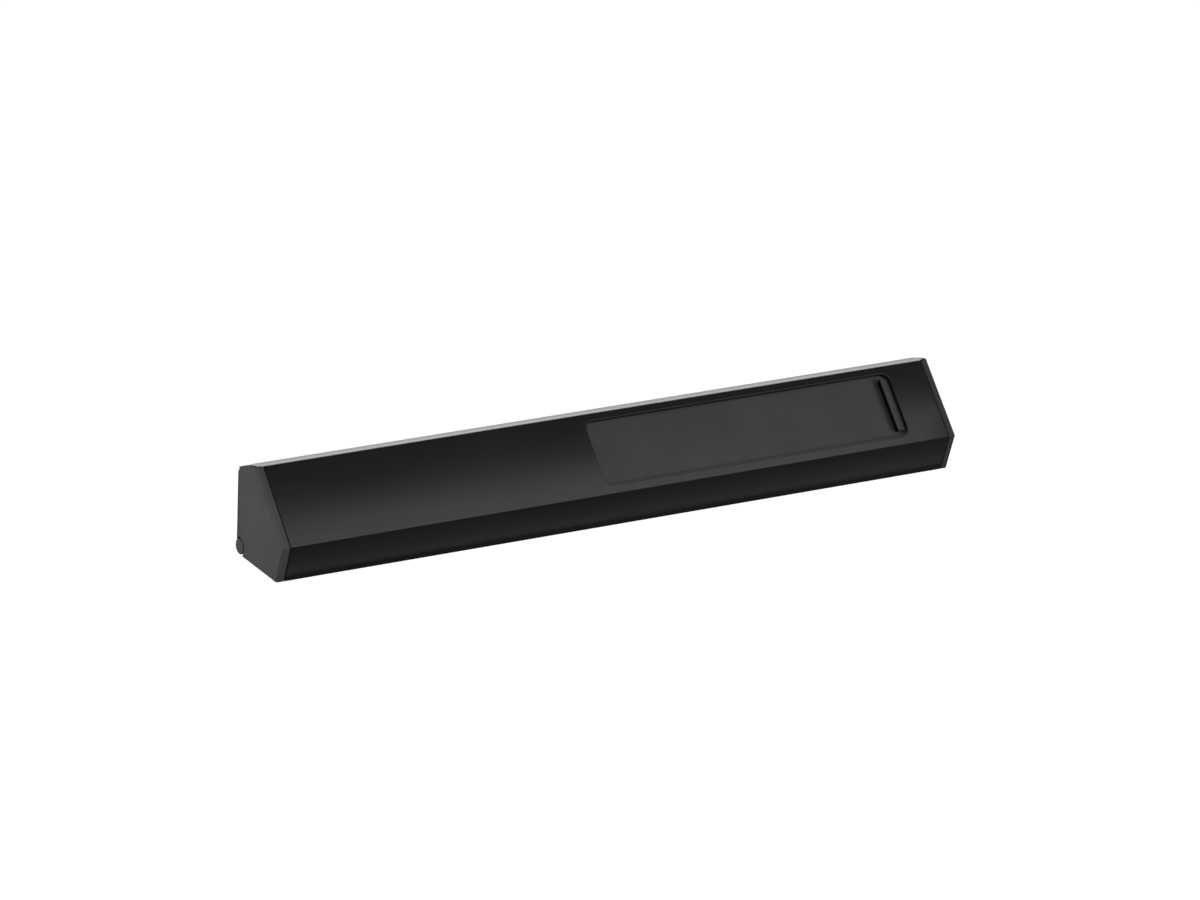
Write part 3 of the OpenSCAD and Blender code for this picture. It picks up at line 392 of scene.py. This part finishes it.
TRIANGLE = [(-1, -0.75), (1, -0.75), (0, 0.95)]
UPSIDE_DOWN = [(1, 0.75), (-1, 0.75), (0, -0.95)]
RETURN_ARROW = [(-1.3, -0.5), (-0.5, -1.3), (-0.5, -0.75), (1.2, -0.75), (1.2, 1.1), (0.75, 1.1),
                (0.75, -0.25), (-0.5, -0.25), (-0.5, 0.3)]
MENU_BARS = [bar_outline(0, u, 2.6, 0.5) for u in (-1.0, 0.0, 1.0)]
KEY_MARKS = {"menu": MENU_BARS, "up": [TRIANGLE], "down": [UPSIDE_DOWN], "enter": [RETURN_ARROW]}
KEY_MARK_SIZE = 1.3
MARK_RELIEF = 0.15 * MM
PRINT_RELIEF = 0.08 * MM

for key, shapes in KEY_MARKS.items():
    node = f"key_{key}"
    x, u = middle(node, ALONG), middle(node, UP)
    outlines = [placed(p, x, u, KEY_MARK_SIZE) for p in shapes]
    add_marks(f"mark_{key}", outlines, node, MARK_RELIEF, f"{key}_button", "board_white")


def ring_quarters(x, u, radius, width, steps=8):
    """A ring as four joined arcs, each an outline of its own"""
    arcs = []
    for k in range(4):
        turns = [math.pi / 2 * (k + i / steps) for i in range(steps + 1)]
        outer = [(x + radius * math.cos(t), u + radius * math.sin(t)) for t in turns]
        within = radius - width
        inner = [(x + within * math.cos(t), u + within * math.sin(t)) for t in reversed(turns)]
        arcs.append(outer + inner)
    return arcs


ROCKER_MARK_RISE = 4.6 * MM
ROCKER_RING = 1.5 * MM
ROCKER_LINE = 0.5 * MM
rocker_x, rocker_u = middle("switch_rocker", ALONG), middle("switch_frame", UP)
add_marks("mark_on", [bar_outline(rocker_x, rocker_u + ROCKER_MARK_RISE, ROCKER_LINE, 2 * ROCKER_RING)],
          "switch_rocker", PRINT_RELIEF, "rocker", "board_white")
add_marks("mark_off", ring_quarters(rocker_x, rocker_u - ROCKER_MARK_RISE, ROCKER_RING, ROCKER_LINE),
          "switch_rocker", PRINT_RELIEF, "rocker", "board_white")

# Arrows printed on the tray under the data jacks: in and out
ARROW_GAP = 2.2 * MM
ARROW_SIZE = 1.1
for jack, shape in (("data_in_jack", UPSIDE_DOWN), ("data_out_jack", TRIANGLE)):
    outline = placed(shape, middle(jack, ALONG), span(jack, UP)[0] - ARROW_GAP, ARROW_SIZE)
    add_marks(f"mark_{jack}", [outline], "bay_tray", PRINT_RELIEF, "bar", "board_white")

# Seven-segment digits on the display, unlit
DIGITS = 4
DIGIT_PITCH = 7 * MM
DIGIT_WIDE = 4.2 * MM
DIGIT_HIGH = 8 * MM
SEGMENT = 0.8 * MM
SEGMENT_GAP = 0.12 * MM


def segment(x, u, length, upright):
    """A six-sided segment, pointed at both ends"""
    half, thick = length / 2 - SEGMENT_GAP, SEGMENT / 2
    shape = [(-half, 0), (thick - half, -thick), (half - thick, -thick), (half, 0), (half - thick, thick),
             (thick - half, thick)]
    return [(x - b, u + a) if upright else (x + a, u + b) for a, b in shape]


def make_digits():
    shapes = []
    mid_x, mid_u = middle("display_window", ALONG), middle("display_window", UP)
    for k in range(DIGITS):
        x = mid_x + (k - (DIGITS - 1) / 2) * DIGIT_PITCH
        shapes += [segment(x, mid_u + j * DIGIT_HIGH / 2, DIGIT_WIDE, False) for j in (-1, 0, 1)]
        shapes += [segment(x + i * DIGIT_WIDE / 2, mid_u + j * DIGIT_HIGH / 4, DIGIT_HIGH / 2, True)
                   for i in (-1, 1) for j in (-1, 1)]
    add_marks("display_digits", shapes, "display_module", PRINT_RELIEF, "bar", "lens")


make_digits()


# Studio: pale floor, white surroundings, soft lights
FLOOR_HALF = 6.0
FLOOR_DROP = 0.2 * MM
FLOOR_GLOW = 0.98
FLOOR_MOTTLE = 6
# Light from the surroundings by the direction's height and by its reach to the back, from -1 to 1
BY_HEIGHT = [(-1, 0.095), (-0.3, 0.1), (0, 0.7), (0.16, 0.34), (0.4, 0.155), (1, 0.14)]
BY_SIDE = [(-1, 1), (-0.25, 1), (0.2, 0.08), (1, 0.04)]


def make_floor():
    half = FLOOR_HALF
    mesh = bpy.data.meshes.new("floor")
    square = [(-half, -half, 0), (half, -half, 0), (half, half, 0), (-half, half, 0)]
    mesh.from_pydata(square, [], [(0, 1, 2, 3)])
    floor = bpy.data.objects.new("floor", mesh)
    floor.location.z = -FLOOR_DROP
    scene.collection.objects.link(floor)
    s = Surface("floor")
    shade = s.ramp(s.noise(FLOOR_MOTTLE), grey(0.10), grey(0.11))
    s.join(shade, s.shader.inputs["Base Color"])
    s.set(Roughness=0.9, Specular_IOR_Level=0.0, Emission_Color=(1, 1, 1, 1), Emission_Strength=FLOOR_GLOW)
    mesh.materials.append(s.material)
    floor.visible_diffuse = False
    floor.visible_glossy = False


def make_world():
    world = bpy.data.worlds.new("studio")
    scene.world = world
    world.use_nodes = True
    tree = world.node_tree
    tree.nodes.clear()

    def add(kind):
        return tree.nodes.new(kind)

    def ramp(value, levels):
        low, high = levels[0][0], levels[-1][0]
        reach = add("ShaderNodeMapRange")
        reach.inputs["From Min"].default_value = low
        reach.inputs["From Max"].default_value = high
        tree.links.new(value, reach.inputs["Value"])
        node = add("ShaderNodeValToRGB")
        while len(node.color_ramp.elements) < len(levels):
            node.color_ramp.elements.new(0.5)
        for element, (at, level) in zip(node.color_ramp.elements, levels):
            element.position = (at - low) / (high - low)
            element.color = (level, level, level, 1)
        tree.links.new(reach.outputs["Result"], node.inputs["Fac"])
        return node.outputs["Color"]

    direction = add("ShaderNodeTexCoord")
    split = add("ShaderNodeSeparateXYZ")
    tree.links.new(direction.outputs["Generated"], split.inputs["Vector"])
    by_height = ramp(split.outputs["Z"], BY_HEIGHT)
    by_side = ramp(split.outputs["Y"], BY_SIDE)
    product = add("ShaderNodeMix")
    product.data_type = "RGBA"
    product.blend_type = "MULTIPLY"
    product.inputs["Factor"].default_value = 1
    tree.links.new(by_height, product.inputs["A"])
    tree.links.new(by_side, product.inputs["B"])
    lit = add("ShaderNodeBackground")
    tree.links.new(product.outputs["Result"], lit.inputs["Color"])
    seen = add("ShaderNodeBackground")
    seen.inputs["Color"].default_value = (1, 1, 1, 1)
    path = add("ShaderNodeLightPath")
    mix = add("ShaderNodeMixShader")
    tree.links.new(path.outputs["Is Camera Ray"], mix.inputs["Fac"])
    tree.links.new(lit.outputs["Background"], mix.inputs[1])
    tree.links.new(seen.outputs["Background"], mix.inputs[2])
    output = add("ShaderNodeOutputWorld")
    tree.links.new(mix.outputs["Shader"], output.inputs["Surface"])


def softbox(name, at, aim, size, power):
    data = bpy.data.lights.new(name, "AREA")
    data.shape = "RECTANGLE"
    data.size, data.size_y = size
    data.energy = power
    light = bpy.data.objects.new(name, data)
    light.location = at
    light.rotation_mode = "QUATERNION"
    light.rotation_quaternion = (Vector(aim) - Vector(at)).to_track_quat("-Z", "Y")
    scene.collection.objects.link(light)
    light.visible_camera = False
    return light


make_floor()
make_world()

# Name, place, point it faces, width and height in metres, watts
LIGHTS = [
    ("key", (-1.3, -1.2, 1.6), (0, 0, 0.03), (1.2, 1.2), 6.5),
    ("slope_strip", (0.0145, -0.1853, 0.16), (0.0145, -0.1853, 0), (0.629, 0.231), 0.5345),
    ("floor_near", (0, -0.0319, 0.0005), (0, -0.0319, 1), (1.3, 0.006), 0.0028),
    ("floor_wide", (0, -0.0362, 0.0004), (0, -0.0362, 1), (1.3, 0.0145), 0.0053),
    ("left", (-3.0, 0.6, 0.3), (-0.25, 0, 0.03), (1.6, 1.6), 187),
    ("front_fill", (-0.8, -2.5, 0.15), (0, 0, 0.03), (1.6, 0.8), 4),
    ("right_fill", (1.5, -1.9, 0.5), (0.1, 0, 0.03), (1.0, 0.8), 78),
    ("back_fill", (0.9, 1.5, 1.0), (0, 0, 0.03), (1.2, 1.0), 5.5),
]
STRIP_TURN = math.radians(0.9)

lights = {row[0]: softbox(*row) for row in LIGHTS}
strip = lights["slope_strip"]
strip.rotation_quaternion = Quaternion((0, 0, 1), STRIP_TURN) @ strip.rotation_quaternion
# This one shows no glint on the knee
lights["right_fill"].visible_glossy = False

scene.view_settings.view_transform = "Standard"
scene.view_settings.look = "None"
